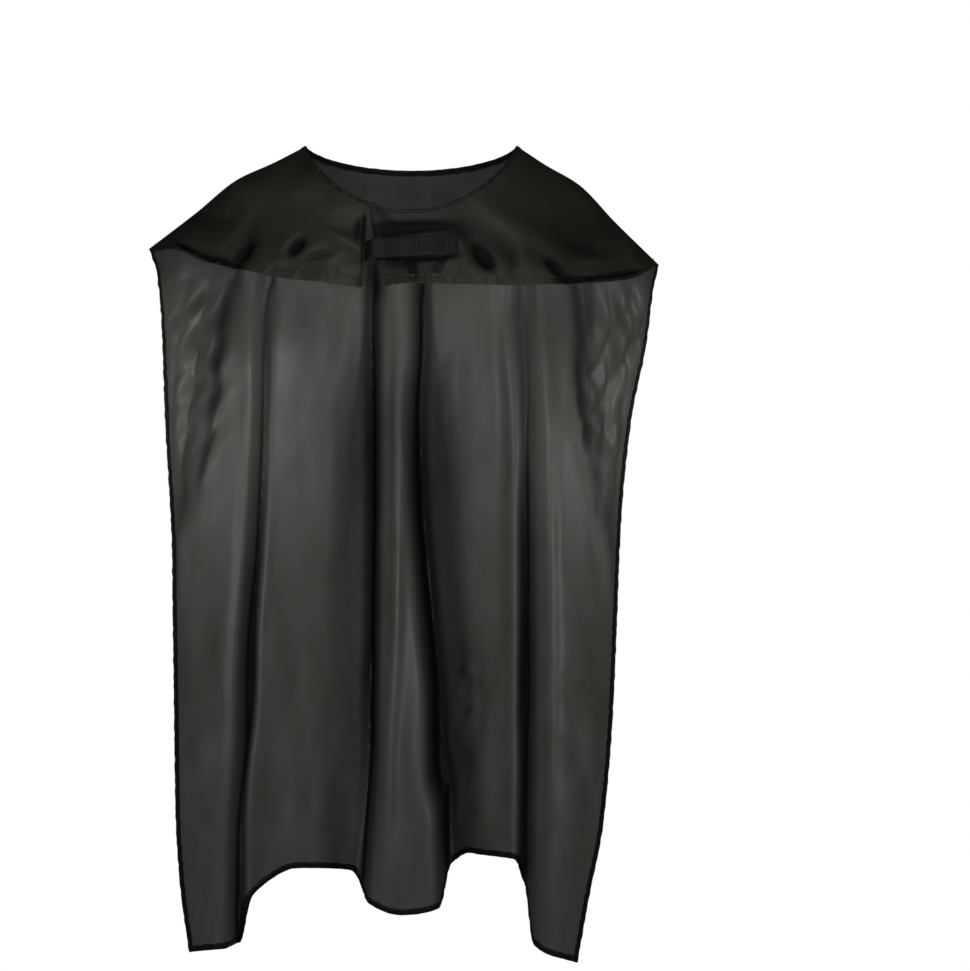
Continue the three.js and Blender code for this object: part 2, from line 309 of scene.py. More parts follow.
def through(points, at):
    """A smooth curve through [place, value] points that never overshoots them."""
    places, values = (np.array(column, float) for column in zip(*points))
    steps = np.diff(values) / np.diff(places)
    before, after = steps[:-1], steps[1:]
    same_way = before * after > 0
    inner = np.where(same_way, 2 * before * after / np.where(same_way, before + after, 1), 0)
    slopes = np.concatenate([steps[:1], inner, steps[-1:]])
    at = np.clip(at, places[0], places[-1])
    i = np.clip(np.searchsorted(places, at) - 1, 0, len(places) - 2)
    step = places[i + 1] - places[i]
    s = (at - places[i]) / step
    start, end = values[i], values[i + 1]
    curve = (2 * s**3 - 3 * s**2 + 1) * start + (3 * s**2 - 2 * s**3) * end
    return curve + ((s**3 - 2 * s**2 + s) * slopes[i] + (s**3 - s**2) * slopes[i + 1]) * step


def ripple(at, seed, *wavelengths):
    """A wandering line: a few waves with random phases, about -1 to 1."""
    phases = np.random.default_rng(seed).uniform(0, 2 * math.pi, len(wavelengths))
    waves = [np.sin(2 * math.pi * at / length + phase) for length, phase in zip(wavelengths, phases)]
    return sum(waves) / len(wavelengths) ** 0.5


# %% The oval round the shoulders
CHEST_ROUND = 1.5  # how squarely the flaps turn over the shoulder line
YOKE_ROUND = 1.35


def over_shoulders(turn, out, middle_y, middle_z, roundness):
    """The cloth near the shoulders. Turn is -pi/2 on the right shoulder line, 0 at the middle, pi/2 on the left."""
    left = turn > 0
    neck = np.where(left, NECK[1], NECK[-1])
    tip_x = np.where(left, TIP[1][0], TIP[-1][0])
    tip_z = np.where(left, TIP[1][1], TIP[-1][1])
    reach = np.abs(mix(neck, tip_x, out) - NECK_MIDDLE)
    line_y = TIP_Y * out
    line_z = tip_z * through(SHOULDER_LINE, out)
    inward = np.maximum(np.cos(turn), 0)
    x = NECK_MIDDLE + reach * np.sin(turn)
    y = mix(line_y, middle_y, inward)
    z = mix(line_z, middle_z, inward**roundness)
    return x, y, z


# %% [markdown]
# ## The folds of the back
# The back hangs in five parts. A column stands forward at each side and one in the middle, and between them the
# cloth lies further back. Each border is a narrow deep valley, where no light comes in, beside a step, and its
# shade is painted darker into the cloth's colour. The valleys wander a little on their way down, start shallow
# under the shoulder blades and are full half way down.

# %% The folds of the back
VALLEYS = [  # path: [share of the fall, across], depth, width, how deep it is on the way down, and how dark its painted shade is
    {"path": [(0, -0.128), (0.3, -0.132), (0.45, -0.1365), (0.6, -0.143), (0.7, -0.144), (0.85, -0.151),
              (1, -0.152)], "depth": 0.026, "width": 0.0055, "dark": 0.5,
     "grows": [(0, 0.3), (0.3, 0.4), (0.5, 0.9), (0.7, 1), (0.8, 0.6), (1, 0.8)]},
    {"path": [(0, -0.035), (0.2, -0.0345), (0.5, -0.0355), (0.8, -0.037), (1, -0.044)], "depth": 0.038,
     "width": 0.0055, "dark": 0.55,
     "grows": [(0, 0.25), (0.1, 0.4), (0.25, 0.9), (0.6, 1), (0.72, 0.7), (0.85, 0.5), (1, 0.3)]},
    {"path": [(0, 0.009), (0.1, 0.0075), (0.2, 0.004), (0.35, 0.0065), (0.55, 0.016), (0.7, 0.0225), (0.78, 0.0235),
              (0.87, 0.031), (1, 0.031)],
     "depth": 0.038, "width": 0.0065, "dark": 0.65,
     "grows": [(0, 0.4), (0.12, 0.6), (0.3, 0.9), (0.6, 1), (0.85, 0.9), (1, 0.5)]},
    {"path": [(0, 0.1), (0.2, 0.1035), (0.5, 0.103), (0.75, 0.102), (1, 0.1)], "depth": 0.032,
     "width": 0.0055, "dark": 0.65, "grows": [(0, 0.2), (0.25, 0.3), (0.45, 0.8), (0.6, 1), (1, 0.8)]},
]
SHELVES = [  # how far back the cloth stands before and after each valley
    (0, 0.012), (0.046, 0.008), (0.002, 0.052), (0.014, 0),
]
SHELF_WIDTH = 0.008  # how far to each side of a valley's middle that is reached
SHELF_BEND = (0.62, 0.36)  # a shelf is nearly level at first: [share of its width, of its slope]
RIDGES = [  # places that stand forward, or back where the height is below 0, with painted shade where a dark is given
    {"path": [(0, -0.14), (0.3, -0.143), (0.6, -0.15), (1, -0.158)], "height": 0.004, "width": 0.007,
     "grows": [(0, 0.6), (0.5, 1), (1, 0.8)]},
    {"path": [(0, -0.011), (0.5, -0.013), (0.75, -0.019), (1, -0.025)], "height": 0.006, "width": 0.006,
     "grows": [(0, 0.6), (0.3, 1), (0.7, 0.8), (1, 0.2)]},
    {"path": [(0, 0.085), (0.3, 0.0885), (0.6, 0.09), (1, 0.089)], "height": 0.004, "width": 0.007,
     "grows": [(0, 0.8), (0.4, 1), (0.8, 0.3), (1, 0.1)]},
    {"path": [(0, 0.116), (0.3, 0.1215), (0.6, 0.123), (1, 0.12)], "height": 0.006, "width": 0.0075,
     "grows": [(0, 0.7), (0.4, 1), (0.8, 0.6), (1, 0.3)]},
    {"path": [(0, -0.16), (0.12, -0.17), (0.25, -0.18), (0.42, -0.2)], "height": -0.01, "width": 0.007,
     "dark": 0.45, "grows": [(0, 1), (0.25, 0.9), (0.42, 0.6), (0.5, 0)]},
    {"path": [(0, 0.15), (0.15, 0.153), (0.3, 0.163), (0.42, 0.175)], "height": -0.01, "width": 0.007,
     "dark": 0.45, "grows": [(0, 1), (0.25, 0.9), (0.42, 0.6), (0.5, 0)]},
    # pushed back a little and painted dark: a painted shadow behind the gap between the flaps
    {"path": [(0, -0.0335), (1, -0.0345)], "height": -0.01, "width": 0.009, "dark": 0.9,
     "grows": [(0, 1), (0.03, 0.5), (0.12, 0.1), (0.3, 0)]},
    # height 0: only painted shade, on the back cloth on each side of the middle column
    {"path": [(0, -0.049), (0.4, -0.052), (1, -0.06)], "height": 0, "width": 0.02, "dark": 0.12,
     "grows": [(0, 0.2), (0.2, 1), (1, 1)]},
    {"path": [(0, 0.02), (0.3, 0.02), (0.6, 0.034), (1, 0.046)], "height": 0, "width": 0.026, "dark": 0.3,
     "grows": [(0, 0.2), (0.2, 0.6), (0.4, 1), (1, 1)]},
]
HEM_RISE = [(-0.2, 0.001), (-0.15, 0.002), (-0.138, 0.045), (-0.1, 0.067), (-0.055, 0.062), (-0.036, 0.037),
            (-0.01, 0.029), (0.024, 0.036), (0.034, 0.068), (0.055, 0.083), (0.09, 0.083), (0.1, 0.06),
            (0.108, 0.012), (0.125, 0.004), (0.16, 0.0)]
HEM_LEAN = 0.028
FOLD_SHADE = 0.85  # how wide a fold's painted shade is, as a share of the fold's width
FOLD_BOTTOM = 0.3  # how wide a valley's painted dark bottom is, in the same way
DARKEST = 0.86  # the painted shade stops here: even a valley's bottom gives back a little light
ROW_POINTS = 900
print(len(VALLEYS), "valleys and", len(RIDGES), "smaller folds")


def beside(fold, x, fall, share=1):
    """1 on a fold's path, and falling softly to 0 on both sides of it."""
    return np.exp(-(((x - through(fold["path"], fall)) / (share * fold["width"])) ** 2))


def fold_depth(x, fall):
    """How far back the folds push the cloth."""
    shelf = []
    for fold, (before, after) in zip(VALLEYS, SHELVES):
        at = through(fold["path"], fall)
        shelf += [(at - SHELF_WIDTH, before), (at + SHELF_WIDTH, after)]
    (left_x, left), (right_x, right) = shelf[1:3]
    shelf.insert(2, (mix(left_x, right_x, SHELF_BEND[0]), mix(left, right, SHELF_BEND[1])))
    (left_x, left), (right_x, right) = shelf[6:8]
    shelf.insert(7, (mix(right_x, left_x, SHELF_BEND[0]), mix(right, left, SHELF_BEND[1])))
    depth = through(shelf, x) * mix(0.3, 1, soften(fall / 0.4))
    for fold in VALLEYS:
        depth += fold["depth"] * through(fold["grows"], fall) * beside(fold, x, fall)
    for fold in RIDGES:
        depth -= fold["height"] * through(fold["grows"], fall) * beside(fold, x, fall)
    return depth


def fold_painted_shade(x, fall):
    """The painted shade of the folds: how much darker each point's colour is, darkest in each valley's bottom."""
    painted_shade = np.zeros_like(x)
    for fold in VALLEYS + RIDGES:
        painted_shade += fold.get("dark", 0) * through(fold["grows"], fall) * beside(fold, x, fall, FOLD_SHADE)
    for fold in VALLEYS:
        painted_shade += beside(fold, x, fall, FOLD_BOTTOM) * soften(2 * through(fold["grows"], fall))
    return np.minimum(painted_shade, DARKEST)


# %% Creases and soft waves
def creases(x, z, seed, size):
    """Flat facets with sharp creases between them, from 0 at a crease to about 1."""
    slants = np.random.default_rng(seed).uniform(0, math.pi, 3)
    facets = [abs(ripple(x * math.cos(a) + z * math.sin(a), seed + i, size, size * 1.7)) for i, a in enumerate(slants)]
    return sum(facets) / len(facets)


CRUMPLED = [  # across, up, half its width and height, depth, size, how dark its painted crease shade is: where the cloth was pressed in a bag
    (-0.19, -0.2, 0.03, 0.1, 0.01, 0.026, 0.5),
    (0.178, -0.2, 0.03, 0.1, 0.01, 0.025, 0.5),
    (0.052, -0.485, 0.012, 0.045, 0.004, 0.03, 0.6),
    (-0.182, -0.46, 0.025, 0.1, 0.002, 0.05, 0.15),
    (0.152, -0.5, 0.025, 0.13, 0.002, 0.05, 0.15),
    (-0.09, -0.3, 0.03, 0.12, 0.001, 0.06, 0.1),
    (0.062, -0.28, 0.03, 0.1, 0.001, 0.06, 0.12),
]


def unevenness(x, z):
    """The soft waves and the creases of cloth that was folded for a long time, and the painted shade in the creases.
    """
    depth = 0.0007 * ripple(x, 7, 0.031, 0.054) * ripple(z + 0.5 * x, 8, 0.17, 0.29)
    depth += 0.0003 * ripple(x - 0.1 * z, 9, 0.021, 0.05) * ripple(z, 10, 0.1, 0.145)
    painted_shade = np.zeros_like(x)
    for number, (across, up, wide, high, deep, size, dark) in enumerate(CRUMPLED):
        there = np.exp(-(((x - across) / wide) ** 4) - ((z - up) / high) ** 4)
        crease = there * creases(x, 0.6 * z, 40 + number, size)
        depth += deep * crease
        # painted shade in the creases
        painted_shade += dark * there * np.clip(1 - 3 * crease, 0, 1)
    return depth, painted_shade


# %% One row of the back
def back_row(level, columns):
    """Points across the back, evenly spaced along the cloth. Level is 0 at the nape, 1 at the tips, 2 at the hem."""
    out, fall = min(1, level), max(0, level - 1)
    turn = np.linspace(-math.pi / 2, math.pi / 2, ROW_POINTS)
    x, y, z = over_shoulders(turn, out, mix(NECK_BACK, YOKE_Y, out), mix(NECK_BACK_DOWN, YOKE_DOWN, out), YOKE_ROUND)
    if fall > 0:
        right, left = through(SIDE[-1], fall), through(SIDE[1], fall)
        inward = np.maximum(np.cos(turn), 0) ** mix(1, 1.7, soften(fall / 0.15))
        x = (right + left) / 2 + (left - right) / 2 * np.sin(turn)
        y = mix(mix(TIP_Y, 0, fall), mix(YOKE_Y, HEM_Y, fall), inward)
    strength = soften((level - 0.35) / 0.65)
    y = y + strength * fold_depth(x, fall)
    hem_z = HEM_DOWN - HEM_LEAN * (x - panel_low[0]) + through(HEM_RISE, x)
    z = mix(z, hem_z, fall)
    points = np.stack([x, y, z], axis=1)
    along = np.concatenate([[0], np.cumsum(np.linalg.norm(np.diff(points, axis=0), axis=1))])
    even = np.linspace(0, along[-1], columns)
    parts = [*points.T, strength * fold_painted_shade(x, fall)]
    return np.stack([np.interp(even, along, part) for part in parts], axis=1)


# %% Meshes from rows of points
def face_directions(rows):
    """The outward direction at each point of a sheet."""
    across = np.gradient(rows, axis=1)
    down = np.gradient(rows, axis=0)
    normal = np.cross(across, down)
    return normal / np.linalg.norm(normal, axis=2, keepdims=True)


def select_only(piece):
    bpy.ops.object.select_all(action="DESELECT")
    piece.select_set(True)
    bpy.context.view_layer.objects.active = piece


def corners_of(rows):
    """The number of each point, in rows."""
    return np.arange(rows.shape[0] * rows.shape[1]).reshape(rows.shape[:2])


def faces_between(corners, following):
    """A face from each corner and the one that follows it to the same two in the next row."""
    return np.stack([corners[:-1], following[:-1], following[1:], corners[1:]], axis=-1).reshape(-1, 4).tolist()


def new_piece(name, points, faces, *materials):
    """A piece with these points and faces, selected and active."""
    mesh = bpy.data.meshes.new(name)
    mesh.from_pydata(points.reshape(-1, 3).tolist(), [], faces)
    for material in materials:
        mesh.materials.append(material)
    piece = bpy.data.objects.new(name, mesh)
    bpy.context.collection.objects.link(piece)
    select_only(piece)
    return piece


def grid_piece(name, rows, *materials):
    """A piece through rows of points."""
    corners = corners_of(rows)
    return new_piece(name, rows, faces_between(corners[:, :-1], corners[:, 1:]), *materials)


def shape(piece, kind, **settings):
    """Adds a modifier to the active piece and applies it."""
    modifier = piece.modifiers.new(kind.lower(), kind)
    for name, value in settings.items():
        setattr(modifier, name, value)
    bpy.ops.object.modifier_apply(modifier=modifier.name)


def smooth(piece, angle):
    """Shades the active piece smooth, but for edges sharper than an angle in degrees."""
    bpy.ops.object.shade_smooth_by_angle(angle=math.radians(angle))
    print(piece.name, len(piece.data.polygons), "faces")


CLOTH = 0.0005  # a little more than satin is, so that its edge shows


def sheet_mesh(name, rows, painted_shade, face):
    """A satin sheet through rows of points, with its outside on the side that the rows turn to."""
    piece = grid_piece(name, rows, satin_outside, satin_inside)
    # painted shade: the value that darkens the satin's colour at each point
    depths = piece.data.attributes.new(PAINTED_SHADE_ATTRIBUTES[face], "FLOAT", "POINT")
    depths.data.foreach_set("value", painted_shade.ravel().astype(np.float32))
    shape(piece, "SOLIDIFY", thickness=CLOTH, offset=-1, material_offset=1, material_offset_rim=1)
    smooth(piece, 50)
    return piece


# %% The back
BACK_COLUMNS = 260
YOKE_LEVELS = np.linspace(0, 1, 34)[:-1]
FALL_LEVELS = np.linspace(1, 2, 158)
TURN_ROWS = 9  # rows above and below the shoulder tips over which the cloth turns down
TURN_COLUMNS = 24  # columns from each side edge in which the turn is sharper
SMOOTHINGS = 60
WAVES_BELOW = 0.06  # the waves reach their full depth this far below the shoulder tips
WAVES_FROM_EDGE = 10  # and this many columns from each side edge

back_rows = np.array([back_row(level, BACK_COLUMNS) for level in [*YOKE_LEVELS, *FALL_LEVELS]])
back_rows, back_painted_shade = back_rows[..., :3], back_rows[..., 3]
number = np.arange(BACK_COLUMNS)
from_edge = np.minimum(number, number[::-1])
from_tips = np.arange(len(back_rows)) - len(YOKE_LEVELS)
turning = 0.5 * np.outer(np.exp(-((from_tips / TURN_ROWS) ** 2)), soften(from_edge / TURN_COLUMNS))
for _ in range(SMOOTHINGS):  # the cloth turns down softly over the shoulder blades
    between = (back_rows[2:] + back_rows[:-2]) / 2 - back_rows[1:-1]
    back_rows[1:-1] += turning[1:-1, :, None] * between
waves, painted_crease_shade = unevenness(back_rows[..., 0], back_rows[..., 2])
hanging = soften((TIP[-1][1] - back_rows[..., 2]) / WAVES_BELOW) * soften(from_edge / WAVES_FROM_EDGE)
back_rows += face_directions(back_rows) * (waves * hanging)[..., None]
# the painted shade of the folds and of the creases
back_painted_shade = np.clip(back_painted_shade + painted_crease_shade, 0, 1)
back_cloth = sheet_mesh("back_cloth", back_rows, back_painted_shade, "inside")
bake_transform(back_cloth)
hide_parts("shoulder_panel", "back_panel")

# %% [markdown]
# ## Bias tape along the edges
# A raw satin edge frays, so it is bound: a narrow folded strip wraps the edge from both sides and one seam holds it.
# Sewing gathers thin cloth a little, which makes the tape pucker every centimetre or so. The tape is swept along
# the cloth's own edge. At each point its section runs round the edge in the directions that the cloth gives:
# into the cloth, and out from its face.

# %% Directions along an edge
def edge_of(rows, which):
    """The points of one edge, the way into the cloth from each, and its outward direction."""
    normals = face_directions(rows)
    lines = {
        "first": (rows[:, 0], rows[:, 3], normals[:, 1]),
        "last": (rows[:, -1], rows[:, -4], normals[:, -2]),
        "top": (rows[0], rows[3], normals[1]),
        "bottom": (rows[-1], rows[-4], normals[-2]),
    }
    edge, inside, normal = lines[which]
    along = np.gradient(edge, axis=0)
    along /= np.linalg.norm(along, axis=1, keepdims=True)
    inward = inside - edge
    inward -= along * np.sum(inward * along, axis=1, keepdims=True)
    inward /= np.linalg.norm(inward, axis=1, keepdims=True)
    return edge, inward, normal


def respaced(line, step):
    """Arrays that run along an edge, at even steps."""
    edge = line[0]
    lengths = np.concatenate([[0], np.cumsum(np.linalg.norm(np.diff(edge, axis=0), axis=1))])
    at = np.linspace(0, lengths[-1], max(2, int(lengths[-1] / step) + 1))
    even = [np.stack([np.interp(at, lengths, part[:, axis]) for axis in range(3)], axis=1) for part in line]
    return at, even


# %% The tape
TAPE_STEP = 0.0015
TAPE_SECTION = [  # [share of the width, share of the half thickness] round the tape, from inside the cloth's inside
    (1.0, -0.45), (0.93, -1.0), (0.7, -1.15), (0.4, -1.1), (0.12, -1.0), (-0.03, -0.75), (-0.09, 0.0),
    (-0.03, 0.75), (0.12, 1.0), (0.4, 1.1), (0.7, 1.15), (0.93, 1.0), (1.0, 0.45),
]
PUCKERS = (0.0075, 0.0112, 0.019)  # the wavelengths of a sewn edge's puckers
WANDER = (0.013, 0.031)  # and of the tape's wandering along the edge
WIDTH_CHANGE, SWELLING = 0.05, 0.18  # how much the tape's width and thickness change, as shares
SEAM_IN, SEAM_OUT = 0.78, 1.15  # where its seam runs: [share of the width, share of the half thickness]


def edge_tape(name, line, width, half, pucker, seed, material, section=TAPE_SECTION):
    """A strip wrapped round an edge. Returns the piece and where a seam runs on each of its faces."""
    at, (edge, inward, normal) = respaced(line, TAPE_STEP)
    lift = pucker * ripple(at, seed, *PUCKERS) - CLOTH / 2
    widths = width * (1 + WIDTH_CHANGE * ripple(at, seed + 1, *PUCKERS))
    shift = 0.4 * pucker * ripple(at, seed + 2, *WANDER)
    swell = 1 + SWELLING * ripple(at, seed + 3, *PUCKERS)
    rings = []
    for across, up in section:
        out = across * widths - shift
        rings.append(edge + inward * out[:, None] + normal * (up * half * swell + lift)[:, None])
    points = np.stack(rings, axis=1)
    corners = corners_of(points)
    sides = faces_between(corners, np.roll(corners, -1, axis=1))
    ends = [corners[0].tolist()[::-1], corners[-1].tolist()]
    piece = new_piece(name, points, [*sides, *ends], material)
    bpy.ops.object.mode_set(mode="EDIT")
    bpy.ops.mesh.select_all(action="SELECT")
    bpy.ops.mesh.normals_make_consistent(inside=False)
    bpy.ops.object.mode_set(mode="OBJECT")
    smooth(piece, 60)
    print(name, round(float(at[-1]), 3), "m long")
    seams = [edge + inward * (SEAM_IN * widths)[:, None] + normal * (sign * SEAM_OUT * half + lift)[:, None]
             for sign in (-1, 1)]
    return piece, seams


# %% [markdown]
# ## Seams
# A seam shows as a row of short threads, each dipping into the cloth at both ends. One stitch is modelled from a rod
# that is cut across and made thin at its ends. An Array modifier repeats it, and a Curve modifier lays the row
# along its seam. Hooks are laid the same way later.

# %% Small rods in rows


def repeated(piece, pitch, points):
    """Copies of a small piece at even steps along a line of points. Its x axis follows the line."""
    curve = bpy.data.curves.new(piece.name + "_line", "CURVE")
    curve.dimensions = "3D"
    curve.twist_mode = "Z_UP"
    line = curve.splines.new("POLY")
    line.points.add(len(points) - 1)
    line.points.foreach_set("co", np.column_stack([points, np.ones(len(points))]).ravel())
    path = bpy.data.objects.new(piece.name + "_line", curve)
    bpy.context.collection.objects.link(path)
    length = float(np.sum(np.linalg.norm(np.diff(points, axis=0), axis=1)))
    select_only(piece)
    shape(piece, "ARRAY", count=max(1, int(length / pitch)), use_relative_offset=False, use_constant_offset=True,
          constant_offset_displace=(pitch, 0, 0))
    shape(piece, "CURVE", object=path)
    bpy.ops.object.shade_smooth()
    bpy.data.objects.remove(path)
    return piece


def cut_rod(name, sides, radius, length, turned_about, along, cuts):
    """A rod with its middle at the origin, cut across at places given as shares of its length."""
    bpy.ops.object.select_all(action="DESELECT")
    bpy.ops.mesh.primitive_cylinder_add(vertices=sides, radius=radius, depth=length)
    rod = bpy.context.object
    rod.name = name
    bpy.ops.object.mode_set(mode="EDIT")
    bpy.ops.mesh.select_all(action="SELECT")
    bpy.ops.transform.rotate(value=math.pi / 2, orient_axis=turned_about, center_override=(0, 0, 0))
    for cut in cuts:
        bpy.ops.mesh.select_all(action="SELECT")
        bpy.ops.mesh.bisect(plane_co=[cut * length * part for part in along], plane_no=along)
    bpy.ops.object.mode_set(mode="OBJECT")
    return rod


# %% Stitches
STITCH_LENGTH = 0.0021
STITCH_PITCH = 0.0029
STITCH_RADIUS = 0.00028
STITCH_ENDS = 0.4  # past this share of the length from its middle, a stitch is thin


def seam(name, points):
    """A row of stitches along a line of points."""
    stitch = cut_rod(name, 6, STITCH_RADIUS, STITCH_LENGTH, "Y", (1, 0, 0), (-0.25, 0.25))
    for vertex in stitch.data.vertices:
        if abs(vertex.co.x) > STITCH_ENDS * STITCH_LENGTH:
            vertex.co.y *= 0.5
            vertex.co.z *= 0.5
        vertex.co.x += STITCH_PITCH / 2
    stitch.data.materials.append(thread_finish)
    return repeated(stitch, STITCH_PITCH, points)


def join(name, pieces):
    """Several pieces made one."""
    bpy.ops.object.select_all(action="DESELECT")
    for piece in pieces:
        piece.select_set(True)
    bpy.context.view_layer.objects.active = pieces[0]
    bpy.ops.object.join()
    pieces[0].name = name
    return pieces[0]


thread_finish = satin("sewing_thread", (0.009, 0.0085, 0.0075), (0.016, 0.015, 0.013), 0.4, 0.2, 0.2)

# %% The back's side tapes and hem
BINDINGS = {  # width, half the thickness, how deep its puckers are
    "side": (0.0042, 0.0009, 0.0002),
    "hem": (0.0048, 0.0009, 0.0002),
    "neck": (0.003, 0.0008, 0.0003),
    "nape": (0.0046, 0.0008, 0.0002),
}
hanging_rows = back_rows[len(YOKE_LEVELS):]


def bound_edge(name, line, binding, seed, nodes):
    """A tape with a seam on each face, which follows the edge of the cloth that it binds."""
    tape, seams = edge_tape(name, line, *BINDINGS[binding], seed, tape_satin)
    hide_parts(*nodes)
    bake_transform(tape)
    stitches = join(name + "_stitches", [seam(f"{name}_seam_{i}", points) for i, points in enumerate(seams)])
    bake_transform(stitches)
    return [tape, stitches]


back_trim = [
    *bound_edge("right_side_binding", edge_of(hanging_rows, "first"), "side", 11, ["right_side_tape"]),
    *bound_edge("left_side_binding", edge_of(hanging_rows, "last"), "side", 21, ["left_side_tape"]),
    *bound_edge("hem_binding", edge_of(hanging_rows, "bottom"), "hem", 31, ["hem_tape"]),
]

# %% [markdown]
# ## The front flaps
# The flaps show the satin's outside. They are short and wide, so they don't hang in folds: they lie over the
# shoulders, dented where the cloth is pushed in towards the arms and gathered a little by their sewn hems. Each
# dent is a soft hollow with its own place, length, width and slant, and most are painted darker as shade; a few
# spots are only painted shade or painted highlight.

# %% The front flaps
SLIT = {-1: [(0, -0.0335), (1, -0.0365)], 1: [(0, -0.032), (0.5, -0.0262), (1, -0.02)]}
FLAP_COLUMNS = 170
FLAP_ROWS = 90
DENTS = [  # across, up, half its length, half its width, slant from level in degrees, depth, how dark its painted shade is
    (-0.0921, -0.0894, 0.0105, 0.0055, 50, 0.005, 1.1),
    (-0.1367, -0.0945, 0.013, 0.0055, 56, 0.003, 1.0),
    (-0.1852, -0.0892, 0.015, 0.0022, -25, 0.0015, 1.0),
    (-0.1571, -0.1008, 0.017, 0.0032, -17, 0.0015, 1.0),
    (-0.0368, -0.0727, 0.009, 0.0065, 85, 0.002, 0.9),
    (-0.1067, -0.0688, 0.03, 0.014, 25, 0.002, 0.15),
    (-0.0727, -0.0965, 0.018, 0.0035, 12, 0.0015, 0.4),
    (-0.0601, -0.1115, 0.009, 0.0035, 80, 0.0015, 0.4),
    (0.0645, -0.0997, 0.0125, 0.006, -50, 0.005, 1.15),
    (0.1242, -0.1081, 0.0125, 0.0055, -44, 0.003, 1.1),
    (0.1387, -0.1178, 0.017, 0.0045, -3, 0.0015, 1.1),
    (0.173, -0.1115, 0.034, 0.0026, 8, 0.0015, 1.0),
    (0.1164, -0.0746, 0.03, 0.013, -32, 0.002, 0.25),
    (0.1494, -0.0902, 0.018, 0.007, -20, 0.002, 0.3),
    (0.0136, -0.0722, 0.026, 0.0045, 4, 0.0015, 0.85),
    (0.0272, -0.1047, 0.011, 0.0035, 62, 0.002, 0.4),
    (0.0049, -0.1057, 0.011, 0.0035, 105, 0.002, 0.5),
    (0.0893, -0.1057, 0.01, 0.004, 80, 0.002, 0.25),
    (0.0136, -0.1003, 0.028, 0.0022, 3, 0.001, 0.8),
    (-0.0116, -0.0746, 0.03, 0.009, 2, 0.001, 0.5),
    (0.002, -0.1086, 0.024, 0.01, 0, 0.001, 0.45),
    # below 0: painted highlights, where the cloth bulges out
    (-0.0562, -0.0824, 0.022, 0.006, -28, -0.0028, -0.3),
    (-0.1775, -0.0853, 0.02, 0.006, -10, -0.0025, -0.2),
    (0.162, -0.0999, 0.022, 0.006, 4, -0.0025, -0.2),
    (0.0466, -0.0892, 0.012, 0.006, -60, -0.0025, -0.2),
    (0.097, -0.094, 0.014, 0.008, -60, -0.002, -0.2),
    # depth 0: painted shadows only, by the slit and above and below the strap, and broad painted shade on the left
    # flap
    (-0.017, -0.0752, 0.026, 0.0065, 2, 0, 0.8),
    (-0.012, -0.1015, 0.022, 0.0065, 2, 0, 0.8),
    (-0.0365, -0.09, 0.034, 0.0016, 88, 0, 0.9),
    (-0.028, -0.085, 0.034, 0.0016, 98, 0, 0.7),
    (0.085, -0.088, 0.07, 0.025, -8, 0, 0.4),
    (0.15, -0.085, 0.06, 0.03, -20, 0, 0.2),
]
FLAP_SHADE = 0.2  # how dark a flap is away from its dents
LOBES = 34  # soft long waves, at random places and slants
LOBE_SLANT = (-1.1, 0.3)
LOBE_DEEP = 0.0019
LOBE_PAINTED_SHADE = 260  # painted shade: how much darker per metre that a wave dents in, and lighter, a painted highlight, where it bulges
FLAP_HEM_RISE = [  # [place across, how much higher the hem hangs there than on the plain oval]
    (-0.215, 0.006), (-0.19, 0.0095), (-0.172, 0.006), (-0.148, 0.0055), (-0.1, 0.002), (-0.03, 0), (0, 0.0045),
    (0.035, 0.003), (0.09, -0.001), (0.142, -0.0035), (0.185, -0.006), (0.205, -0.004),
]
HEM_TURN = 0.0085  # from the flap's edge to the seam of its turned hem
SLIT_TURN = 0.006
GATHERS = (0.0085, 0.0127, 0.021)  # the wavelengths of the gathers along a flap's hem
GATHERS_UP = 0.013  # how far they reach into the flap
print(len(DENTS), "dents in all, and", LOBES, "waves on each flap")


def chest_point(turn, out):
    return over_shoulders(
        turn, out, mix(NECK_FRONT, FLAP_HEM_Y, out), mix(NECK_FRONT_DOWN, FLAP_HEM_DOWN, out), CHEST_ROUND
    )


def flap_row(side, out):
    """Points across a flap, from the wearer's left to the right as seen from outside."""
    edge_x = through(SLIT[side], out)
    hand = 1 if edge_x > NECK_MIDDLE else -1
    reach = abs(mix(NECK[hand], TIP[hand][0], out) - NECK_MIDDLE)
    edge = math.asin((edge_x - NECK_MIDDLE) / reach)
    turn = np.linspace(edge, side * math.pi / 2, FLAP_COLUMNS)[::-side]
    x, y, z = chest_point(turn, out)
    off_shoulder = soften((1 - np.abs(np.sin(turn))) / 0.1)
    return np.stack([x, y, z + through(FLAP_HEM_RISE, x) * out**3 * off_shoulder], axis=1)


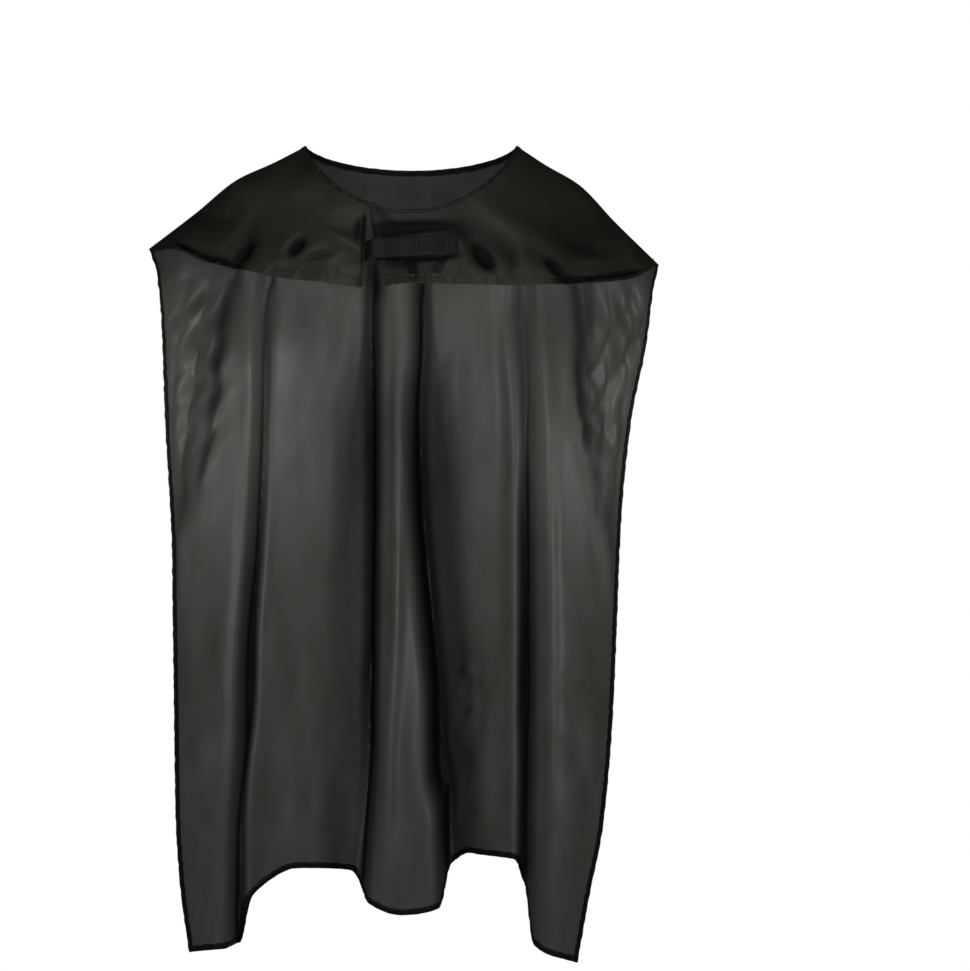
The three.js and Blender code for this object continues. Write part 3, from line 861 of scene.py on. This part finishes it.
def dented(rows, seed):
    """The flap with its dents, its slow unevenness and the puckers along its hem, and its painted shade and
    highlights.
    """
    x, z = rows[..., 0], rows[..., 2]
    depth, painted_shade = np.zeros_like(x), np.full_like(x, FLAP_SHADE)
    for across, up, long, wide, slant, deep, dark in DENTS:
        c, s = math.cos(math.radians(slant)), math.sin(math.radians(slant))
        dx, dz = x - across, z - up
        away = ((dx * c + dz * s) / long) ** 2 + ((dz * c - dx * s) / wide) ** 2
        depth += deep * np.exp(-away)
        painted_shade += dark * np.exp(-(away**1.5))
    chance = np.random.default_rng(seed)
    for _ in range(LOBES):
        dx, dz = x - chance.uniform(x.min(), x.max()), z - chance.uniform(z.min(), z.max())
        slant = chance.uniform(*LOBE_SLANT) * np.sign(x.mean())
        along, across = dx * math.cos(slant) + dz * math.sin(slant), dz * math.cos(slant) - dx * math.sin(slant)
        long, wide = chance.uniform(0.018, 0.042), chance.uniform(0.006, 0.013)
        lobe = chance.uniform(-LOBE_DEEP, LOBE_DEEP) * np.exp(-((along / long) ** 2) - (across / wide) ** 2)
        depth += lobe
        # painted shade where a wave dents in, painted highlight where it bulges out
        painted_shade += LOBE_PAINTED_SHADE * lobe
    lengths = np.linalg.norm(rows - rows[-1], axis=2)
    at_hem = np.exp(-((lengths / GATHERS_UP) ** 2))
    x_hem = np.broadcast_to(x[-1], x.shape)
    gathered = 0.3 + 0.7 * np.exp(-((x_hem / 0.07) ** 2))
    depth += 0.0007 * at_hem * gathered * ripple(x_hem, seed + 2, *GATHERS)
    depth += 0.0004 * np.exp(-(((lengths - HEM_TURN) / 0.0012) ** 2))
    shoulder = rows[:, -1:] if x.mean() < 0 else rows[:, :1]
    fade = soften(np.linalg.norm(rows - rows[0], axis=2) / 0.02)
    fade *= soften(np.linalg.norm(rows - shoulder, axis=2) / 0.03)
    return rows - face_directions(rows) * (depth * fade)[..., None], np.clip(painted_shade, 0, 1)


flap_rows = {side: dented(np.array([flap_row(side, out) for out in np.linspace(0, 1, FLAP_ROWS)]), 50 + side)
             for side in (-1, 1)}

# %% The flaps with their hems and bindings
HEM_SECTION = [  # as the tape's section, but the cloth is turned to its inside only
    (1.0, -0.3), (1.0, -1.0), (0.6, -1.15), (0.1, -1.05), (-0.05, -0.6), (-0.07, 0.0), (-0.03, 0.32), (0.05, 0.3),
    (0.3, -0.3),
]
OPENING_BEND = 0.035  # how far from the shoulder line an opened flap bends
flap_cloth, flap_trim = {}, {}
for side, flap in ((-1, "right_flap"), (1, "left_flap")):
    rows, painted_shade = flap_rows[side]
    cloth = sheet_mesh(f"{flap}_cloth", rows, painted_shade, "outside")
    middle = (np.array([NECK[side], 0, 0]) + (TIP[side][0], TIP_Y, TIP[side][1])) / 2
    opening = {"a": "shoulders", "b": flap, "start": tuple(middle), "end": tuple(middle - (0, OPENING_BEND, 0))}
    name = flap.split("_")[0]
    slit = "first" if side < 0 else "last"
    neck_trim = bound_edge(f"{name}_neck_binding", edge_of(rows, "top"), "neck", 61 + side, [f"{name}_neck_tape"])
    turned = []
    for part, which, node, width in (
        ("hem", "bottom", "flap_hem_tape", HEM_TURN),
        ("slit", slit, "slit_tape", SLIT_TURN),
    ):
        strip, seams = edge_tape(f"{name}_{part}_turn", edge_of(rows, which), width, 0.0006, 0.0001, 71 + side,
                                 satin_outside if part == "hem" else tape_satin, HEM_SECTION)
        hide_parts(f"{name}_{node}")
        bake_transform(strip)
        stitches = seam(f"{name}_{part}_stitches", seams[1])
        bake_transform(stitches)
        turned += [strip, stitches]
    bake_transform(cloth)
    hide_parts(f"{name}_front_flap")
    flap_cloth[side], flap_trim[side] = cloth, [*neck_trim, *turned]

nape_trim = bound_edge("nape_binding", edge_of(back_rows, "top"), "nape", 91, ["nape_tape"])

# %% [markdown]
# ## The closing strap
# The strap is a strip of satin folded to four layers and stitched flat, so it is stiffer than the cloth and lies
# over the chest in one smooth curve. Its end is sewn inside the right flap. It comes out round the flap's front
# edge, crosses the gap, and its hook tape presses on the loop tape on the left flap. A grid is bent to that route,
# thickened, and its edges are rounded.

# %% The chest under the strap
STRAP_UP = -0.0916
STRAP_RISE = 0.05  # how much the strap climbs for its length


def on_chest(x, z):
    """The chest's point and outward direction at a place across and up, found by halving."""
    low, high = np.zeros_like(x), np.ones_like(x)
    for _ in range(30):
        out = (low + high) / 2
        reach = np.where(x > NECK_MIDDLE, mix(NECK[1], TIP[1][0], out), mix(NECK[-1], TIP[-1][0], out)) - NECK_MIDDLE
        turn = np.arcsin(np.clip((x - NECK_MIDDLE) / np.abs(reach), -1, 1))
        above = chest_point(turn, out)[2] > z
        low, high = np.where(above, out, low), np.where(above, high, out)
    return np.stack(chest_point(turn, out), axis=-1)


def band_rows(start, end, width, height, steps=60, across=13, middle=STRAP_UP):
    """Rows of points of a band that lies over the chest at a height, from a place across to another."""
    x, up = np.meshgrid(np.linspace(start, end, steps), np.linspace(width / 2, -width / 2, across))
    z = middle + STRAP_RISE * x + up
    base = on_chest(x, z)
    step = 0.002
    over_x = on_chest(x + step, z) - on_chest(x - step, z)
    over_z = on_chest(x, z - step) - on_chest(x, z + step)
    normal = np.cross(over_z, over_x)
    normal /= np.linalg.norm(normal, axis=-1, keepdims=True)
    lift = height(x) if callable(height) else np.full_like(x, height)
    return base + normal * lift[..., None]


def band(name, rows, thickness, rounding, material):
    """A thick flat band with rounded edges."""
    piece = grid_piece(name, rows[:, ::-1], material)
    shape(piece, "SOLIDIFY", thickness=thickness, offset=1)
    shape(piece, "BEVEL", width=rounding, segments=3, angle_limit=math.radians(50))
    smooth(piece, 60)
    return piece


# %% The strap, its patches and its stitches
STRAP_WIDTH, STRAP_THICK = 0.0165, 0.0012
STRAP_ENDS = (-0.0535, 0.0425)
INSIDE_FLAP, OVER_PATCHES = -0.0032, 0.0026
CROSSING = (-0.0365, -0.0275)  # where the strap comes out round the flap's edge
PATCH = {  # across from and to, width, height over the chest, thickness
    "loop": (0.001, 0.044, 0.0145, 0.0004, 0.0009),
    "hook": (0.0045, 0.037, 0.0125, 0.0015, 0.0008),
}
THREAD_LINE = 0.0002  # the width of the narrow bands whose edges the stitches and hooks follow
SEAM_ABOVE = 0.0001  # how far the stitches stand out of the strap


def strap_height(x):
    wave = 0.0003 * ripple(x, 101, 0.017, 0.029)
    return mix(INSIDE_FLAP, OVER_PATCHES, soften((x - CROSSING[0]) / (CROSSING[1] - CROSSING[0]))) + wave


strap_cloth = satin("strap_cloth", (0.0021, 0.0017, 0.0013), (0.0037, 0.0031, 0.0025), 0.5, 0.015, 0.3)
strap = band("strap", band_rows(*STRAP_ENDS, STRAP_WIDTH, strap_height, 90), STRAP_THICK, 0.00045, strap_cloth)
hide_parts("closing_strap", "strap_sewn_end")
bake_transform(strap)


def box_seam(name, start, end, width):
    """Stitches round a rectangle on top of the strap."""
    top = OVER_PATCHES + STRAP_THICK + SEAM_ABOVE
    left, right = (
        band_rows(x - THREAD_LINE / 2, x + THREAD_LINE / 2, width, top, 2, 12)[:, 0] for x in (start, end)
    )
    upper, lower = (
        band_rows(start, end, THREAD_LINE, top, 24, 2, STRAP_UP + up)[0] for up in (width / 2, -width / 2)
    )
    return join(name, [seam(f"{name}_{i}", line) for i, line in enumerate((left, right, upper, lower))])


strap_seams = [
    box_seam("strap_end_seam", start=-0.0262, end=-0.0198, width=0.0085),
    box_seam("hook_seam", start=0.0085, end=0.0338, width=0.0125),
]
for stitches in strap_seams:
    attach(stitches, "strap")

# %% [markdown]
# ## Hook and loop
# Hook tape is a field of small stiff nylon hooks, and loop tape is a brushed pile of fine loops that catch them.
# One hook is modelled as a bent rod, and copies of it stand in rows along the tape. The pile is too fine for
# geometry, so it is a rough surface whose noise stands for the tangled loops.

# %% Hook and loop
HOOK_PITCH = 0.0016
HOOK_ROWS = 7
HOOK_HIGH = 0.0004
HOOK_RADIUS = 0.00012
HOOK_LEAN = 0.0005
HOOK_STRAIGHT = 0.3  # a hook is straight up to this share of its height


def pile_finish(name, dark, light, scale, rough):
    finish = Finish(name, Roughness=rough, Specular_IOR_Level=0.15)
    tangle = finish.noise(finish.place(), scale, detail=3.0, roughness=0.7)
    finish.connect(finish.shader.inputs["Base Color"], finish.blend_colour(tangle, dark, light))
    finish.connect(finish.shader.inputs["Normal"], finish.bump(tangle, strength=0.8, distance=0.0006))
    return finish.material


loop_pile = pile_finish("loop_pile", (0.003, 0.003, 0.0028), (0.011, 0.0108, 0.0102), 2400, 0.95)
hook_nylon = pile_finish("hook_nylon", (0.003, 0.003, 0.0028), (0.008, 0.0079, 0.0075), 900, 0.45)
patches = {}
for kind, (start, end, width, height, thick) in PATCH.items():
    material = loop_pile if kind == "loop" else hook_nylon
    patches[kind] = band(f"{kind}_tape", band_rows(start, end, width, height, 40), thick, 0.0003, material)
    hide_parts(f"{kind}_patch")
    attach(patches[kind], {"loop": "left_flap", "hook": "strap"}[kind])


def hook_row(points):
    """A row of hooks that stand on a line of points, with their tips bent along it."""
    hook = cut_rod("hook", 5, HOOK_RADIUS, HOOK_HIGH, "X", (0, 1, 0), (-0.2, 0, 0.2, 0.35))
    for vertex in hook.data.vertices:
        share = vertex.co.y / HOOK_HIGH + 0.5
        vertex.co.x += HOOK_PITCH / 2 + HOOK_LEAN * max(0, share - HOOK_STRAIGHT) ** 2
        vertex.co.y += HOOK_HIGH / 2
    hook.data.materials.append(hook_nylon)
    return repeated(hook, HOOK_PITCH, points)


start, end, width, height, thick = PATCH["hook"]
offsets = np.linspace(-0.42, 0.42, HOOK_ROWS) * width
lines = [band_rows(start, end, THREAD_LINE, height, 24, 2, STRAP_UP + offset)[0] for offset in offsets]
hooks = join("hooks", [hook_row(line) for line in lines])
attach(hooks, "strap")
print("hooks", len(hooks.data.polygons), "faces")

# %% [markdown]
# ## The cut of the strap
# A cape hangs without stretching, so its cut is as wide and as long as the cloth measures along itself, folds
# and all. Round necks and slanting sides take their share of the rectangle away. The strap is cut straight, and
# its cut is printed.

# %% The cut of the strap
print("strap cut to", round(STRAP_ENDS[1] - STRAP_ENDS[0], 4), "by", STRAP_WIDTH, "m")
